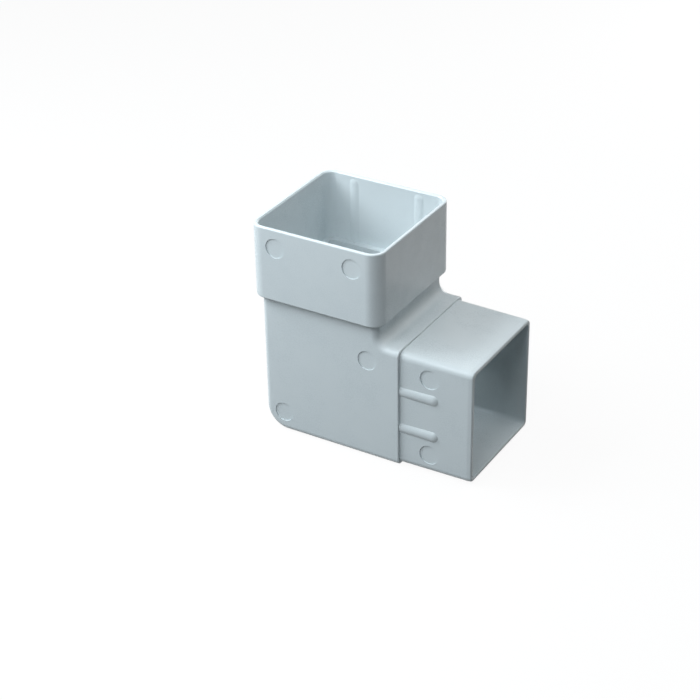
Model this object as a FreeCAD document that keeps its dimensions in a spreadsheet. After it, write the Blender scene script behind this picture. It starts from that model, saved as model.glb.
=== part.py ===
import FreeCAD, Part
import math
import os
import Sketcher

# A square downpipe elbow, moulded in one piece: a socket collar on top takes the pipe from above,
# and the water turns a right angle into a spigot that slides into the next pipe.
# The socket's axis is Z and the spigot points along +X. The flat underside lies on z = 0.

# Driving dimensions in millimetres, with angles in degrees: name, value, what it is
SIZES = [
    ("pipe_size", 65.0, "outside of the square pipe that both ends fit"),
    ("pipe_wall", 1.5, "wall of that pipe"),
    ("socket_clearance", 0.4, "play between the pipe and each socket wall, taken up by the guide ribs"),
    ("collar_wall", 2.1, "wall of the socket collar"),
    ("collar_height", 37.8, "rim to the collar's lower edge"),
    ("collar_corner", 7.0, "outside corner radius of the collar"),
    ("collar_lower_round", 0.8, "rounding of the collar's lower edge"),
    ("rim_round", 0.7, "rounding of the rim's outer edge"),
    ("rim_lead", 0.6, "lead-in chamfer of the rim's inner edge"),
    ("seat_thickness", 1.9, "ledge that the pipe end stands on"),
    ("neck_height", 11.1, "top of the level arm to the collar's lower edge"),
    ("body_wall", 2.2, "wall of the body around the upright bore"),
    ("body_edge", 3.2, "rounding of the body's long edges"),
    ("bend_outer", 12.0, "outside radius at the heel of the bend"),
    ("bend_inner", 5.0, "outside radius at the throat of the bend"),
    ("arm_length", 11.35, "body's side to the shoulder where the spigot starts"),
    ("shoulder_side_step", 1.45, "spigot's side out to the body's side, at the shoulder"),
    ("shoulder_top_step", 1.02, "spigot's top up to the arm's top, at the shoulder"),
    ("shoulder_base_step", 0.52, "spigot's underside down to the arm's underside, at the shoulder"),
    ("shoulder_round", 0.5, "rounding of the shoulder's edge"),
    ("spigot_length", 37.8, "shoulder to mouth"),
    ("spigot_draft", 0.8, "draft of the spigot's outside, in degrees"),
    ("spigot_play", 0.32, "play between the pipe and the spigot's top and underside, at the shoulder"),
    ("spigot_edge", 3.0, "rounding of the spigot's long edges"),
    ("spigot_wall", 2.1, "wall of the spigot where its lead-in starts"),
    ("lead_length", 2.2, "tapered lead-in of the spigot, at its mouth"),
    ("lead_draft", 8.0, "slope of the lead-in, in degrees"),
    ("mouth_round", 0.8, "rounding of the mouth's outer edge"),
    ("mouth_chamfer", 0.3, "chamfer of the mouth's inner edge"),
    ("bore_edge", 2.0, "rounding of the bores' long edges"),
    ("key_length", 20.0, "length of the half-round ribs on the spigot, from the shoulder"),
    ("key_width", 5.0, "width of the ribs on the spigot"),
    ("key_height", 0.8, "height of the ribs above the spigot's side, at the shoulder"),
    ("key_spacing", 20.0, "distance between the two ribs of one side"),
    ("guide_width", 5.0, "width of the half-round ribs inside the socket"),
    ("guide_spacing", 36.0, "distance between the two ribs of one socket wall"),
    ("guide_rim_gap", 1.7, "socket rim to the top of the ribs"),
    ("disc_diameter", 10.0, "round marks left by the ejector pins"),
    ("disc_depth", 0.45, "depth of the ejector marks"),
    ("collar_disc_spacing", 41.2, "distance between the two marks on the collar"),
    ("collar_disc_drop", 9.6, "rim to the centre of the collar's marks"),
    ("throat_disc_back", 16.7, "shoulder back to the mark near the throat"),
    ("throat_disc_drop", 9.1, "arm top down to the mark near the throat"),
    ("heel_disc_inset", 10.6, "body's back and underside to the mark at the heel"),
    ("spigot_disc_reach", 15.6, "shoulder to the marks on the spigot"),
    ("spigot_disc_spacing", 41.5, "distance between the two marks on the spigot"),
    ("core_overrun", 5.0, "how far the cores stand out of the openings that they form"),
    ("wall_edge_share", 0.4, "most of a wall's thickness that the finish of its edge may take"),
    ("step_edge_share", 0.85, "most of the shoulder's land beside the ribs that its rounding may take"),
]

# The socket goes over the pipe, and the ribs of the spigot bear on the pipe's bore
SOCKET_BORE = "(Sizes.pipe_size + 2 * Sizes.socket_clearance)"
COLLAR_SIZE = f"({SOCKET_BORE} + 2 * Sizes.collar_wall)"
PIPE_BORE = "(Sizes.pipe_size - 2 * Sizes.pipe_wall)"

# Section of the spigot at its root on the shoulder, where its lead-in starts, and inside
SHANK_LENGTH = "(Sizes.spigot_length - Sizes.lead_length)"
SHANK_TAPER = f"({SHANK_LENGTH} * tan(Sizes.spigot_draft))"
ROOT_WIDTH = f"({PIPE_BORE} - 2 * Sizes.key_height)"
ROOT_HEIGHT = f"({PIPE_BORE} - 2 * Sizes.spigot_play)"
LEAD_WIDTH = f"({ROOT_WIDTH} - 2 * {SHANK_TAPER})"
LEAD_HEIGHT = f"({ROOT_HEIGHT} - 2 * {SHANK_TAPER})"
SPIGOT_BORE_WIDTH = f"({LEAD_WIDTH} - 2 * Sizes.spigot_wall)"
SPIGOT_BORE_HEIGHT = f"({LEAD_HEIGHT} - 2 * Sizes.spigot_wall)"

# The body stands out from the spigot by the steps of the shoulder
BODY_WIDTH = f"({ROOT_WIDTH} + 2 * Sizes.shoulder_side_step)"
BODY_BORE = f"({BODY_WIDTH} - 2 * Sizes.body_wall)"
SHOULDER = f"({BODY_WIDTH} / 2 + Sizes.arm_length)"
MOUTH = f"({SHOULDER} + Sizes.spigot_length)"
SPIGOT_AXIS = f"(Sizes.shoulder_base_step + {ROOT_HEIGHT} / 2)"
BORE_FLOOR = f"({SPIGOT_AXIS} - {SPIGOT_BORE_HEIGHT} / 2)"
ARM_TOP = f"(Sizes.shoulder_base_step + {ROOT_HEIGHT} + Sizes.shoulder_top_step)"
COLLAR_BASE = f"({ARM_TOP} + Sizes.neck_height)"
SEAT = f"({COLLAR_BASE} + Sizes.seat_thickness)"
RIM = f"({COLLAR_BASE} + Sizes.collar_height)"

# Radius of the rod that stands out of a wall as a half-round rib of a width and height
KEY_RADIUS = "((Sizes.key_width ^ 2 / 4 + Sizes.key_height ^ 2) / (2 * Sizes.key_height))"
GUIDE_RADIUS = "((Sizes.guide_width ^ 2 / 4 + Sizes.socket_clearance ^ 2) / (2 * Sizes.socket_clearance))"

# The finish of an edge is limited by the wall or step that carries it
RIM_ROUND = "min(Sizes.rim_round; Sizes.wall_edge_share * Sizes.collar_wall)"
RIM_LEAD = "min(Sizes.rim_lead; Sizes.wall_edge_share * Sizes.collar_wall)"
MOUTH_ROUND = "min(Sizes.mouth_round; Sizes.wall_edge_share * Sizes.spigot_wall)"
MOUTH_CHAMFER = "min(Sizes.mouth_chamfer; Sizes.wall_edge_share * Sizes.spigot_wall)"
SHOULDER_LAND = f"(({BODY_WIDTH} - {PIPE_BORE}) / 2)"
SHOULDER_ROUND = f"min(Sizes.shoulder_round; Sizes.step_edge_share * {SHOULDER_LAND})"

EDGE_SAMPLES = 5
TOLERANCE = 1e-4


def make_sheet(doc):
    """The spreadsheet that drives every size of the part."""
    sheet = doc.addObject("Spreadsheet::Sheet", "Sizes")
    for row, (alias, value, note) in enumerate(SIZES, start=1):
        sheet.set(f"A{row}", note)
        sheet.set(f"B{row}", str(value))
        sheet.setAlias(f"B{row}", alias)
    doc.recompute()


def number(owner, expression):
    """Value of an expression on the sheet."""
    return float(owner.evalExpression(expression))


def origin_plane(body, role):
    """One of the body's own origin planes."""
    return next(feature for feature in body.Origin.OriginFeatures if feature.Role == role)


def new_sketch(body, name, role, offset=None, right=None, up=None):
    """Sketch on one of the body's origin planes, moved by expressions along its normal, right or up."""
    sketch = body.newObject("Sketcher::SketchObject", name)
    sketch.AttachmentSupport = (origin_plane(body, role), "")
    sketch.MapMode = "FlatFace"
    for axis, expression in (("x", right), ("y", up), ("z", offset)):
        if expression:
            sketch.setExpression(f"AttachmentOffset.Base.{axis}", expression)
    return sketch


def bind(sketch, constraint, name, expression):
    """Add a dimension and tie it to the sheet."""
    index = sketch.addConstraint(constraint)
    sketch.renameConstraint(index, name)
    sketch.setExpression(f"Constraints.{name}", expression)


def place(sketch, name, geometry, point, x=None, y=None):
    """Dimension a point from the sketch's origin."""
    for axis, expression in (("X", x), ("Y", y)):
        if expression:
            value = number(sketch, expression)
            distance = Sketcher.Constraint(f"Distance{axis}", -1, 1, geometry, point, value)
            bind(sketch, distance, f"{name}_{axis.lower()}", expression)


def outline(sketch, walls, radii=None):
    """Closed outline, anticlockwise, of upright and level walls in turn, each given by an expression for
    its x or y place. The corner after wall i is rounded by the expression radii[i], if there is one."""
    radii = radii or {}
    count = len(walls)
    places = [number(sketch, wall) for wall in walls]
    rounds = [number(sketch, radii[i]) if i in radii else 0.0 for i in range(count)]
    corners = []
    for i in range(count):
        x, y = (i, (i + 1) % count) if i % 2 == 0 else ((i + 1) % count, i)
        corners.append(FreeCAD.Vector(places[x], places[y], 0))
    ways = [(corners[i] - corners[i - 1]).normalize() for i in range(count)]
    lines = []
    for i in range(count):
        start = corners[i - 1] + ways[i] * rounds[i - 1]
        end = corners[i] - ways[i] * rounds[i]
        lines.append(sketch.addGeometry(Part.LineSegment(start, end)))
        sketch.addConstraint(Sketcher.Constraint("Horizontal" if i % 2 else "Vertical", lines[i]))
    for i in range(count):
        following = (i + 1) % count
        if i in radii:
            sides = (lines[i], lines[following])
            round_corner(sketch, i, corners[i], sides, (ways[i], ways[following]), radii[i])
        else:
            sketch.addConstraint(Sketcher.Constraint("Coincident", lines[i], 2, lines[following], 1))
    for i in range(count):
        axis = "y" if i % 2 else "x"
        place(sketch, f"wall_{i}", lines[i], 1, **{axis: walls[i]})


def round_corner(sketch, i, corner, lines, ways, radius):
    """Arc that joins two walls of an outline, on a left or a right turn."""
    size = number(sketch, radius)
    centre = corner - ways[0] * size + ways[1] * size
    left_turn = ways[0].cross(ways[1]).z > 0
    ends = [-ways[1], ways[0]] if left_turn else [ways[0], -ways[1]]
    circle = Part.Circle(centre, FreeCAD.Vector(0, 0, 1), size)
    start, end = [circle.parameter(centre + way * size) for way in ends]
    arc = sketch.addGeometry(Part.ArcOfCircle(circle, start, end))
    entry, leaving = (1, 2) if left_turn else (2, 1)
    sketch.addConstraint(Sketcher.Constraint("Tangent", lines[0], 2, arc, entry))
    sketch.addConstraint(Sketcher.Constraint("Tangent", arc, leaving, lines[1], 1))
    bind(sketch, Sketcher.Constraint("Radius", arc, size), f"round_{i}", radius)


def rectangle(sketch, centre, width, height, radius):
    """Rounded rectangle about a centre, all given by expressions."""
    x, y = centre
    walls = [f"{x} - {width} / 2", f"{y} - {height} / 2", f"{x} + {width} / 2", f"{y} + {height} / 2"]
    outline(sketch, walls, {corner: radius for corner in range(4)})


def rod(body, kind, name, sketch, along, root, end, radius):
    """Round rod with a ball end, turned about the sketch's own "x" or "y" axis: it is added by a Revolution
    or cut away by a Groove. It starts at its root, and the ball's centre is its end."""
    size = number(sketch, radius)
    start, centre = number(sketch, root), number(sketch, end)

    def point(run, side):
        return FreeCAD.Vector(run, side, 0) if along == "x" else FreeCAD.Vector(-side, run, 0)

    circle = Part.Circle(point(centre, 0), FreeCAD.Vector(0, 0, 1), size)
    pole = circle.parameter(point(centre + size, 0))
    middle = sketch.addGeometry(Part.LineSegment(point(start, 0), point(centre + size, 0)))
    ball = sketch.addGeometry(Part.ArcOfCircle(circle, pole, pole + math.pi / 2))
    side = sketch.addGeometry(Part.LineSegment(point(centre, size), point(start, size)))
    back = sketch.addGeometry(Part.LineSegment(point(start, size), point(start, 0)))
    axis, axis_name = (-1, "H_Axis") if along == "x" else (-2, "V_Axis")
    lengthwise, crosswise = ("Horizontal", "Vertical") if along == "x" else ("Vertical", "Horizontal")
    sketch.addConstraint(Sketcher.Constraint("Coincident", middle, 2, ball, 1))
    sketch.addConstraint(Sketcher.Constraint("Tangent", ball, 2, side, 1))
    sketch.addConstraint(Sketcher.Constraint("Coincident", side, 2, back, 1))
    sketch.addConstraint(Sketcher.Constraint("Coincident", back, 2, middle, 1))
    sketch.addConstraint(Sketcher.Constraint("PointOnObject", middle, 1, axis))
    sketch.addConstraint(Sketcher.Constraint("PointOnObject", ball, 3, axis))
    sketch.addConstraint(Sketcher.Constraint(lengthwise, middle))
    sketch.addConstraint(Sketcher.Constraint(lengthwise, side))
    sketch.addConstraint(Sketcher.Constraint(crosswise, back))
    bind(sketch, Sketcher.Constraint("Radius", ball, size), "thickness", radius)
    place(sketch, "root", middle, 1, **{along: root})
    place(sketch, "end", ball, 3, **{along: end})
    feature = body.newObject(f"PartDesign::{kind}", name)
    feature.Profile = sketch
    feature.ReferenceAxis = (sketch, [axis_name])
    body.Document.recompute()
    return feature


def mirror_across(body, name, features):
    """Repeat features on the other side of the plane y = 0."""
    mirrored = body.newObject("PartDesign::Mirrored", name)
    mirrored.Originals = features
    mirrored.MirrorPlane = (origin_plane(body, "XZ_Plane"), [""])
    body.Tip = mirrored
    body.Document.recompute()


def extrude(body, kind, name, sketch, length, symmetric=False, reverse=False):
    """Pad or pocket of a sketch, by a length from the sheet."""
    feature = body.newObject(f"PartDesign::{kind}", name)
    feature.Profile = sketch
    feature.SideType = "Symmetric" if symmetric else "One side"
    feature.Reversed = reverse
    feature.setExpression("Length", length)
    body.Document.recompute()
    return feature


def finish_edges(body, kind, name, size, wanted):
    """Fillet or chamfer the edges of the body whose points all answer to the test."""
    base = body.Tip
    chosen = []
    for index, edge in enumerate(base.Shape.Edges, start=1):
        if wanted(edge.discretize(EDGE_SAMPLES)):
            chosen.append(f"Edge{index}")
    if not chosen:
        raise RuntimeError(f"{name}: no edge to finish")
    feature = body.newObject(f"PartDesign::{kind}", name)
    feature.Base = (base, chosen)
    feature.setExpression("Radius" if kind == "Fillet" else "Size", size)
    body.Document.recompute()


def lies_at(points, axis, value):
    """True where all points of an edge lie in the plane axis = value, or its mirror image in y."""
    if axis == "y":
        return all(abs(abs(point.y) - value) < TOLERANCE for point in points)
    return all(abs(getattr(point, axis) - value) < TOLERANCE for point in points)


def make_core(doc):
    """The space inside: the socket, the upright bore and the level bore of the spigot."""
    core = doc.addObject("PartDesign::Body", "core")
    seat = number(core, SEAT)

    sketch = new_sketch(core, "socket_section", "XY_Plane", SEAT)
    rectangle(sketch, ("0", "0"), SOCKET_BORE, SOCKET_BORE, "(Sizes.collar_corner - Sizes.collar_wall)")
    extrude(core, "Pad", "socket_space", sketch, f"{RIM} - {SEAT} + Sizes.core_overrun")

    # Round grooves in the core leave half-round guide ribs on two facing walls of the socket
    grooves = []
    for name, side in (("left", "-"), ("right", "")):
        sketch = new_sketch(core, f"{name}_guide_profile", "XZ_Plane",
                            offset=f"Sizes.pipe_size / 2 + {GUIDE_RADIUS}",
                            right=f"{side}Sizes.guide_spacing / 2")
        grooves.append(rod(core, "Groove", f"{name}_guide", sketch, "y", COLLAR_BASE,
                           f"{RIM} - Sizes.guide_rim_gap - Sizes.guide_width / 2", GUIDE_RADIUS))
    mirror_across(core, "far_guides", grooves)

    sketch = new_sketch(core, "upright_bore_profile", "XZ_Plane")
    half_bore = f"{BODY_BORE} / 2"
    outline(sketch, [f"-{half_bore}", BORE_FLOOR, half_bore, f"{SEAT} + Sizes.seat_thickness"],
            {0: "(Sizes.bend_outer - Sizes.body_wall)"})
    extrude(core, "Pad", "upright_bore", sketch, BODY_BORE, symmetric=True)
    bore_side = number(core, half_bore)
    finish_edges(core, "Fillet", "upright_bore_edges", "Sizes.bore_edge",
                 lambda points: lies_at(points, "y", bore_side) and not lies_at(points, "z", seat))

    sketch = new_sketch(core, "spigot_bore_section", "YZ_Plane")
    rectangle(sketch, ("0", SPIGOT_AXIS), SPIGOT_BORE_WIDTH, SPIGOT_BORE_HEIGHT, "Sizes.bore_edge")
    extrude(core, "Pad", "spigot_bore", sketch, f"{MOUTH} + Sizes.core_overrun")
    return core


def make_elbow(doc):
    """The moulding: collar, bent body, spigot and its ribs, hollowed by the core."""
    elbow = doc.addObject("PartDesign::Body", "elbow")
    rim = number(elbow, RIM)
    collar_base = number(elbow, COLLAR_BASE)
    shoulder = number(elbow, SHOULDER)
    mouth = number(elbow, MOUTH)

    sketch = new_sketch(elbow, "collar_section", "XY_Plane", COLLAR_BASE)
    rectangle(sketch, ("0", "0"), COLLAR_SIZE, COLLAR_SIZE, "Sizes.collar_corner")
    extrude(elbow, "Pad", "collar", sketch, "Sizes.collar_height")
    finish_edges(elbow, "Fillet", "rim_outer_edge", RIM_ROUND, lambda points: lies_at(points, "z", rim))
    finish_edges(elbow, "Fillet", "collar_lower_edge", "Sizes.collar_lower_round",
                 lambda points: lies_at(points, "z", collar_base))

    sketch = new_sketch(elbow, "bend_profile", "XZ_Plane")
    half_width = f"{BODY_WIDTH} / 2"
    outline(sketch, [f"-{half_width}", "0", SHOULDER, ARM_TOP, half_width, SEAT],
            {0: "Sizes.bend_outer", 3: "Sizes.bend_inner"})
    extrude(elbow, "Pad", "bend", sketch, BODY_WIDTH, symmetric=True)
    body_side = number(elbow, half_width)
    finish_edges(elbow, "Fillet", "body_edges", "Sizes.body_edge",
                 lambda points: lies_at(points, "y", body_side)
                 and not lies_at(points, "z", collar_base) and not lies_at(points, "x", shoulder))
    # The rounding stays clear of the ribs that end on the shoulder
    finish_edges(elbow, "Fillet", "shoulder_edge", SHOULDER_ROUND,
                 lambda points: lies_at(points, "x", shoulder))

    sketch = new_sketch(elbow, "spigot_section", "YZ_Plane", f"{MOUTH} - Sizes.lead_length")
    rectangle(sketch, ("0", SPIGOT_AXIS), LEAD_WIDTH, LEAD_HEIGHT, "Sizes.spigot_edge")
    shank = extrude(elbow, "Pad", "spigot_shank", sketch, SHANK_LENGTH, reverse=True)
    shank.setExpression("TaperAngle", "Sizes.spigot_draft")
    lead = extrude(elbow, "Pad", "spigot_lead", sketch, "Sizes.lead_length")
    lead.setExpression("TaperAngle", "-Sizes.lead_draft")
    doc.recompute()
    finish_edges(elbow, "Fillet", "mouth_outer_edge", MOUTH_ROUND, lambda points: lies_at(points, "x", mouth))

    # The ribs are rods that stand out of the wall; the core takes away what reaches inside
    keys = []
    for name, side in (("lower", "-"), ("upper", "+")):
        sketch = new_sketch(elbow, f"{name}_key_profile", "XZ_Plane",
                            offset=f"{PIPE_BORE} / 2 - {KEY_RADIUS}",
                            up=f"{SPIGOT_AXIS} {side} Sizes.key_spacing / 2")
        keys.append(rod(elbow, "Revolution", f"{name}_key", sketch, "x", half_width,
                        f"{SHOULDER} + Sizes.key_length - Sizes.key_width / 2", KEY_RADIUS))
    mirror_across(elbow, "far_keys", keys)

    hollow = elbow.newObject("PartDesign::Boolean", "hollow")
    hollow.Type = "Cut"
    hollow.addObject(make_core(doc))
    doc.recompute()
    socket_side = number(elbow, f"{SOCKET_BORE} / 2") + TOLERANCE
    finish_edges(elbow, "Chamfer", "rim_inner_edge", RIM_LEAD,
                 lambda points: lies_at(points, "z", rim)
                 and all(max(abs(point.x), abs(point.y)) < socket_side for point in points))
    spigot_axis = number(elbow, SPIGOT_AXIS)
    bore_side = number(elbow, f"{SPIGOT_BORE_WIDTH} / 2") + TOLERANCE
    bore_rise = number(elbow, f"{SPIGOT_BORE_HEIGHT} / 2") + TOLERANCE
    finish_edges(elbow, "Chamfer", "mouth_inner_edge", MOUTH_CHAMFER,
                 lambda points: lies_at(points, "x", mouth)
                 and all(abs(point.y) < bore_side for point in points)
                 and all(abs(point.z - spigot_axis) < bore_rise for point in points))

    collar_disc_height = f"{RIM} - Sizes.collar_disc_drop"
    ejector_marks(elbow, "collar_marks", f"{COLLAR_SIZE} / 2",
                  [("-Sizes.collar_disc_spacing / 2", collar_disc_height),
                   ("Sizes.collar_disc_spacing / 2", collar_disc_height)])
    ejector_marks(elbow, "body_marks", half_width,
                  [(f"{SHOULDER} - Sizes.throat_disc_back", f"{ARM_TOP} - Sizes.throat_disc_drop"),
                   (f"Sizes.heel_disc_inset - {half_width}", "Sizes.heel_disc_inset")])
    spigot_disc_x = f"{SHOULDER} + Sizes.spigot_disc_reach"
    spigot_disc_side = f"({ROOT_WIDTH} / 2 - Sizes.spigot_disc_reach * tan(Sizes.spigot_draft))"
    ejector_marks(elbow, "spigot_marks", spigot_disc_side,
                  [(spigot_disc_x, f"{SPIGOT_AXIS} - Sizes.spigot_disc_spacing / 2"),
                   (spigot_disc_x, f"{SPIGOT_AXIS} + Sizes.spigot_disc_spacing / 2")])
    return elbow


def ejector_marks(body, name, side, centres):
    """Shallow round recesses in the -Y side, whose floor lies below the face by the depth of a mark."""
    sketch = new_sketch(body, f"{name}_outlines", "XZ_Plane", f"{side} - Sizes.disc_depth")
    for index, (x, y) in enumerate(centres):
        radius = number(sketch, "Sizes.disc_diameter / 2")
        centre = FreeCAD.Vector(number(sketch, x), number(sketch, y), 0)
        circle = sketch.addGeometry(Part.Circle(centre, FreeCAD.Vector(0, 0, 1), radius))
        diameter = Sketcher.Constraint("Diameter", circle, 2 * radius)
        bind(sketch, diameter, f"size_{index}", "Sizes.disc_diameter")
        place(sketch, f"centre_{index}", circle, 3, x=x, y=y)
    extrude(body, "Pocket", name, sketch, "Sizes.core_overrun", reverse=True)


def check(doc, parts):
    """Stop before anything is written if a feature or a part's shape has failed."""
    for item in doc.Objects:
        if "Invalid" in item.State or "Error" in item.State:
            raise RuntimeError(f"{item.Label} failed: {item.State}")
    for part in parts:
        if part.Shape.isNull() or not part.Shape.isValid() or len(part.Shape.Solids) != 1:
            raise RuntimeError(f"{part.Label} is not one sound solid")


def main():
    doc = FreeCAD.newDocument("downpipe_elbow")
    make_sheet(doc)
    parts = [make_elbow(doc)]
    doc.recompute()
    check(doc, parts)
    os.makedirs("parts", exist_ok=True)
    for part in parts:
        part.Shape.exportStep(os.path.join("parts", f"{part.Label}.step"))


main()
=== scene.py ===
import math

import bpy
from mathutils import Matrix, Vector

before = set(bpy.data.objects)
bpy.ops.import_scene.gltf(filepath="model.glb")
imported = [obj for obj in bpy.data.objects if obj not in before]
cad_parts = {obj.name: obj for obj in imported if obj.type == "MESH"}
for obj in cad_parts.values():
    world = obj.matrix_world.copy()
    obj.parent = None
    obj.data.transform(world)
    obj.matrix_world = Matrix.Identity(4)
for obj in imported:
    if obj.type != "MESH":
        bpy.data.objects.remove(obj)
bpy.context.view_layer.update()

bl_info = {
    "name": "Square downspout elbow",
    "version": (1, 0, 0),
    "blender": (4, 5, 0),
    "location": "View3D > Sidebar > Elbow",
    "description": "Dresses a moulded rainwater elbow and sets it on a white studio floor",
    "category": "Object",
}

WHITE = (1.0, 1.0, 1.0, 1.0)
SENSOR_WIDTH = 36.0
METRE = 1.0

# Octaves of finer noise within the clouds, the ripples and the grain
CLOUD_DETAIL = 3.0
RIPPLE_DETAIL = 1.0
GRAIN_DETAIL = 2.0

# Noise runs from 0 to 1 about this mean
NOISE_MEAN = 0.5


def length(name, description, default):
    """A length that the user can change."""
    return bpy.props.FloatProperty(
        name=name, description=description, default=default,
        subtype="DISTANCE", unit="LENGTH", min=0.0, precision=6)


def point(name, description, default):
    """A place that the user can change."""
    return bpy.props.FloatVectorProperty(
        name=name, description=description, default=default, size=3,
        subtype="TRANSLATION", unit="LENGTH")


def angle(name, description, degrees):
    """An angle that the user can change."""
    return bpy.props.FloatProperty(
        name=name, description=description, default=math.radians(degrees),
        subtype="ANGLE", unit="ROTATION")


def share(name, description, default):
    """A number between 0 and 1 that the user can change."""
    return bpy.props.FloatProperty(
        name=name, description=description, default=default, subtype="FACTOR", min=0.0, max=1.0)


def colour(name, description, default):
    """A colour that the user can change."""
    return bpy.props.FloatVectorProperty(
        name=name, description=description, default=default, size=3,
        subtype="COLOR", min=0.0, max=1.0)


def power(name, description, default):
    """The power of a lamp that the user can change."""
    return bpy.props.FloatProperty(
        name=name, description=description, default=default, subtype="POWER", unit="POWER", min=0.0)


class ElbowPlastic(bpy.types.PropertyGroup):
    """Finish of the moulded plastic."""

    tone: colour("Tone", "Body colour of the plastic", (0.592, 0.66, 0.684))
    cloud_tone: colour(
        "Cloud tone", "Paler, greyer tone of the faint clouds in the plastic", (0.65, 0.705, 0.722))
    cloud_size: length("Cloud size", "Width of a cloud", 0.022)
    roughness: share("Roughness", "Roughness of the polished mould's surface", 0.28)
    roughness_spread: share("Roughness spread", "How far the roughness differs between clouds", 0.08)
    refraction: bpy.props.FloatProperty(
        name="Refraction", description="Index of refraction of the plastic", default=1.36, min=1.0)
    ripple_size: length("Ripple size", "Length of the slow waves that shrinkage leaves in flat walls", 0.014)
    ripple_height: length("Ripple height", "Height of those waves", 0.00002)
    grain_size: length("Grain size", "Width of the fine grain of the mould", 0.0005)
    grain_height: length("Grain height", "Height of the fine grain", 0.000004)


class ElbowStudio(bpy.types.PropertyGroup):
    """Camera, lamps and floor."""

    azimuth: angle("Azimuth", "Turn of the camera about the socket's axis, from the front", 31.363)
    elevation: angle("Elevation", "How far the camera looks down", 30.83)
    roll: angle("Roll", "Tilt of the camera about its own axis", -1.081)
    distance: length("Distance", "Camera to the point that it looks at", 0.897525)
    target: point("Target", "Point that the camera looks at", (-0.002052, 0.0, 0.03488))
    focal_length: bpy.props.FloatProperty(
        name="Focal length", description="Focal length in millimetres on a 36 mm sensor",
        unit="CAMERA", default=93.976)
    lamp_target: point("Lamp target", "Point that the lamps face", (0.02, 0.0, 0.05))
    lamp_size: length("Lamp size", "Side of the soft lamps", 0.38)
    cool_light: colour("Cool light", "Colour of the lamps on the left and in front", (0.90, 0.96, 1.0))
    plain_light: colour("Plain light", "Colour of the lamps on the right and behind", (1.0, 1.0, 1.0))
    left_place: point("Left lamp", "Place of the main lamp, high on the left", (-0.458, -0.128, 0.545))
    left_power: power("Left power", "Power of the main lamp", 4.5)
    near_place: point("Near lamp", "Place of the lamp between the left and the front", (-0.37, -0.39, 0.481))
    near_power: power("Near power", "Power of the lamp between the left and the front", 1.8)
    front_place: point("Front lamp", "Place of the lamp above the front", (0.02, -0.435, 0.533))
    front_power: power("Front power", "Power of the lamp above the front", 2.0)
    right_place: point(
        "Right lamp", "Place of the lamp high on the right, a little behind", (0.296, 0.216, 0.656))
    right_power: power("Right power", "Power of the lamp on the right", 1.4)
    back_place: point("Back lamp", "Place of the low lamp behind", (0.115, 0.673, 0.219))
    back_power: power("Back power", "Power of the lamp behind", 1.9)
    fill_strength: share("Fill", "Strength of the even light from all round", 0.0)
    floor_size: length("Floor size", "Side of the floor", 6.0)
    floor_tone: share("Floor tone", "Grey of the floor to the camera", 0.85)
    floor_bounce: share("Floor bounce", "Grey of the floor as it lights the elbow from below", 0.2)
    floor_glow: share("Floor glow", "Share of plain white in what the camera sees of the floor", 0.93)


class Value:
    """A number in a shader: a socket, with the arithmetic that adds its Math nodes."""

    def __init__(self, shader, socket):
        self.shader = shader
        self.socket = socket

    def combine(self, operation, first, second):
        """Add a Math node for two numbers or sockets. Returns its result."""
        return self.shader.node("ShaderNodeMath", {"operation": operation}, {0: first, 1: second})["Value"]

    def __add__(self, other):
        return self.combine("ADD", self, other)

    __radd__ = __add__

    def __sub__(self, other):
        return self.combine("SUBTRACT", self, other)

    def __rsub__(self, other):
        return self.combine("SUBTRACT", other, self)

    def __mul__(self, other):
        return self.combine("MULTIPLY", self, other)

    __rmul__ = __mul__


class Shader:
    """Node tree of a material or of the world, filled node by node."""

    def __init__(self, owner):
        owner.use_nodes = True
        self.tree = owner.node_tree
        self.tree.nodes.clear()

    def node(self, kind, settings=None, inputs=None):
        """Add a node: its settings first, then values or links for its sockets. Returns its outputs."""
        node = self.tree.nodes.new(kind)
        for name, value in (settings or {}).items():
            setattr(node, name, value)
        for key, value in (inputs or {}).items():
            if isinstance(value, Value):
                self.tree.links.new(value.socket, node.inputs[key])
            else:
                node.inputs[key].default_value = value
        return {output.name: Value(self, output) for output in node.outputs if output.enabled}

    def seen(self):
        """1 where the camera, a reflection or a transmission looks, and 0 for the light itself."""
        path = self.node("ShaderNodeLightPath")
        return path["Is Camera Ray"] + path["Is Glossy Ray"] + path["Is Transmission Ray"]


def new_material(name):
    """An empty material and its shader."""
    material = bpy.data.materials.new(name)
    return material, Shader(material)


def opaque(tone):
    """A colour with full alpha."""
    return (*tone, 1.0)


def plastic_material(finish):
    """Light blue-grey moulded plastic: faint clouds, slow ripples of shrinkage and a fine grain."""
    material, shader = new_material("grey_plastic")
    place = shader.node("ShaderNodeTexCoord")["Object"]

    def noise(size, detail):
        settings = {"noise_dimensions": "3D"}
        inputs = {"Vector": place, "Scale": 1.0 / size, "Detail": detail}
        return shader.node("ShaderNodeTexNoise", settings, inputs)["Fac"]

    clouds = noise(finish.cloud_size, CLOUD_DETAIL)
    ripples = noise(finish.ripple_size, RIPPLE_DETAIL)
    grain = noise(finish.grain_size, GRAIN_DETAIL)
    tone = shader.node(
        "ShaderNodeMix", {"data_type": "RGBA"},
        {"Factor": clouds, "A": opaque(finish.tone), "B": opaque(finish.cloud_tone)})["Result"]
    roughness = finish.roughness + finish.roughness_spread * (clouds + grain - 2 * NOISE_MEAN)
    height = ripples * finish.ripple_height + grain * finish.grain_height
    bump = shader.node(
        "ShaderNodeBump", None, {"Height": height, "Distance": METRE, "Strength": 1.0})["Normal"]
    surface = shader.node(
        "ShaderNodeBsdfPrincipled", None,
        {"Base Color": tone, "Roughness": roughness, "Normal": bump, "IOR": finish.refraction})["BSDF"]
    shader.node("ShaderNodeOutputMaterial", None, {"Surface": surface})
    return material


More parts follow.
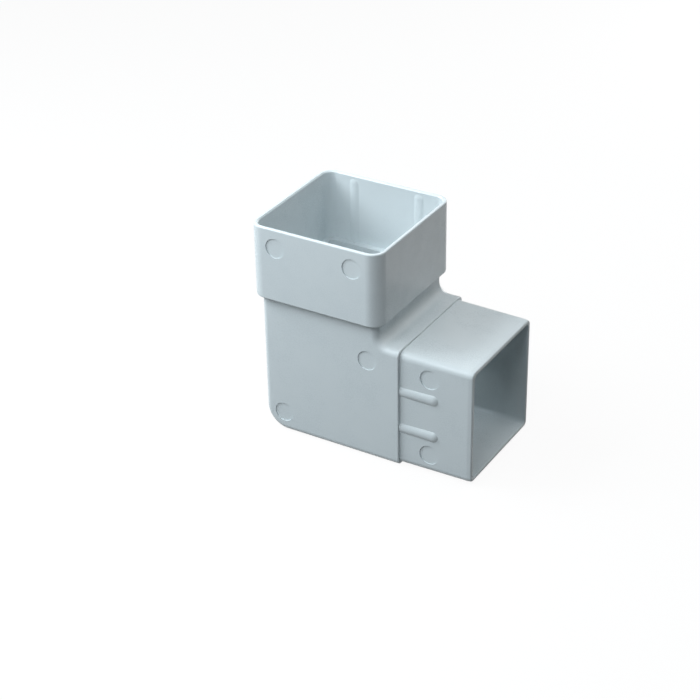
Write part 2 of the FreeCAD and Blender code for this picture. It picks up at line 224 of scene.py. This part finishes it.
def floor_material(studio):
    """Pale floor that looks white to the camera and in reflections, and keeps a soft shadow."""
    material, shader = new_material("floor_white")
    seen = shader.seen()
    grey = studio.floor_bounce + seen * (studio.floor_tone - studio.floor_bounce)
    matte = shader.node("ShaderNodeBsdfDiffuse", None, {"Color": grey})["BSDF"]
    glow = shader.node("ShaderNodeEmission", None, {"Color": WHITE, "Strength": 1.0})["Emission"]
    mix = shader.node(
        "ShaderNodeMixShader", None, {0: seen * studio.floor_glow, 1: matte, 2: glow})["Shader"]
    shader.node("ShaderNodeOutputMaterial", None, {"Surface": mix})
    return material


def light_world(studio):
    """Even light of the fill's strength on the object, plain white to the camera and in reflections."""
    world = bpy.data.worlds.new("studio_world")
    bpy.context.scene.world = world
    shader = Shader(world)
    strength = studio.fill_strength + shader.seen() * (1.0 - studio.fill_strength)
    background = shader.node(
        "ShaderNodeBackground", None, {"Color": WHITE, "Strength": strength})["Background"]
    shader.node("ShaderNodeOutputWorld", None, {"Surface": background})


def add_lamp(name, place, target, size, watts, tint):
    """Square soft lamp that faces a point."""
    data = bpy.data.lights.new(name, "AREA")
    data.shape = "SQUARE"
    data.size = size
    data.energy = watts
    data.color = tint
    lamp = bpy.data.objects.new(name, data)
    lamp.location = place
    lamp.rotation_euler = (Vector(target) - Vector(place)).to_track_quat("-Z", "Y").to_euler()
    bpy.context.scene.collection.objects.link(lamp)


def add_camera(studio):
    """Camera at the viewing angle, with its roll, aimed at the target."""
    back = Vector((
        math.sin(studio.azimuth) * math.cos(studio.elevation),
        -math.cos(studio.azimuth) * math.cos(studio.elevation),
        math.sin(studio.elevation)))
    level_right = Vector((math.cos(studio.azimuth), math.sin(studio.azimuth), 0.0))
    level_up = back.cross(level_right)
    right = level_right * math.cos(studio.roll) + level_up * math.sin(studio.roll)
    up = back.cross(right)
    data = bpy.data.cameras.new("studio_camera")
    data.sensor_width = SENSOR_WIDTH
    data.lens = studio.focal_length
    camera = bpy.data.objects.new("studio_camera", data)
    turn = Matrix((right, up, back)).transposed().to_4x4()
    camera.matrix_world = Matrix.Translation(Vector(studio.target) + back * studio.distance) @ turn
    bpy.context.scene.collection.objects.link(camera)
    bpy.context.scene.camera = camera


class ELBOW_OT_moulding(bpy.types.Operator):
    """Give the moulding its plastic finish"""

    bl_idname = "elbow.moulding"
    bl_label = "Moulding"

    def execute(self, context):
        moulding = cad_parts["elbow"]
        moulding.data.materials.clear()
        moulding.data.materials.append(plastic_material(context.scene.elbow_plastic))
        return {"FINISHED"}


class ELBOW_OT_stage(bpy.types.Operator):
    """Set up the floor, the lamps and the camera"""

    bl_idname = "elbow.stage"
    bl_label = "Stage"

    def execute(self, context):
        studio = context.scene.elbow_studio
        context.scene.view_settings.view_transform = "Standard"
        bpy.ops.object.select_all(action="DESELECT")
        bpy.ops.mesh.primitive_plane_add(size=studio.floor_size)
        floor = context.object
        floor.name = "studio_floor"
        floor.data.materials.append(floor_material(studio))
        light_world(studio)
        lamps = {
            "left_lamp": (studio.left_place, studio.left_power, studio.cool_light),
            "near_lamp": (studio.near_place, studio.near_power, studio.cool_light),
            "front_lamp": (studio.front_place, studio.front_power, studio.cool_light),
            "right_lamp": (studio.right_place, studio.right_power, studio.plain_light),
            "back_lamp": (studio.back_place, studio.back_power, studio.plain_light),
        }
        for name, (place, watts, tint) in lamps.items():
            add_lamp(name, place, studio.lamp_target, studio.lamp_size, watts, tint)
        add_camera(studio)
        return {"FINISHED"}


class ELBOW_PT_panel(bpy.types.Panel):
    """Sizes and colours of the elbow and its studio"""

    bl_label = "Elbow"
    bl_idname = "ELBOW_PT_panel"
    bl_space_type = "VIEW_3D"
    bl_region_type = "UI"
    bl_category = "Elbow"

    def draw(self, context):
        layout = self.layout
        for group, operator in (("elbow_plastic", ELBOW_OT_moulding), ("elbow_studio", ELBOW_OT_stage)):
            values = getattr(context.scene, group)
            box = layout.box()
            for name in values.bl_rna.properties.keys():
                if name not in ("rna_type", "name"):
                    box.prop(values, name)
            box.operator(operator.bl_idname)


CLASSES = (ElbowPlastic, ElbowStudio, ELBOW_OT_moulding, ELBOW_OT_stage, ELBOW_PT_panel)


def register():
    """Make the classes and the scene's values known."""
    for cls in CLASSES:
        bpy.utils.register_class(cls)
    bpy.types.Scene.elbow_plastic = bpy.props.PointerProperty(type=ElbowPlastic)
    bpy.types.Scene.elbow_studio = bpy.props.PointerProperty(type=ElbowStudio)


def unregister():
    """Take the scene's values and the classes away again."""
    del bpy.types.Scene.elbow_studio
    del bpy.types.Scene.elbow_plastic
    for cls in reversed(CLASSES):
        bpy.utils.unregister_class(cls)


def main():
    """Dress the elbow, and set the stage."""
    register()
    bpy.ops.elbow.moulding()
    bpy.ops.elbow.stage()


if __name__ == "__main__":
    main()
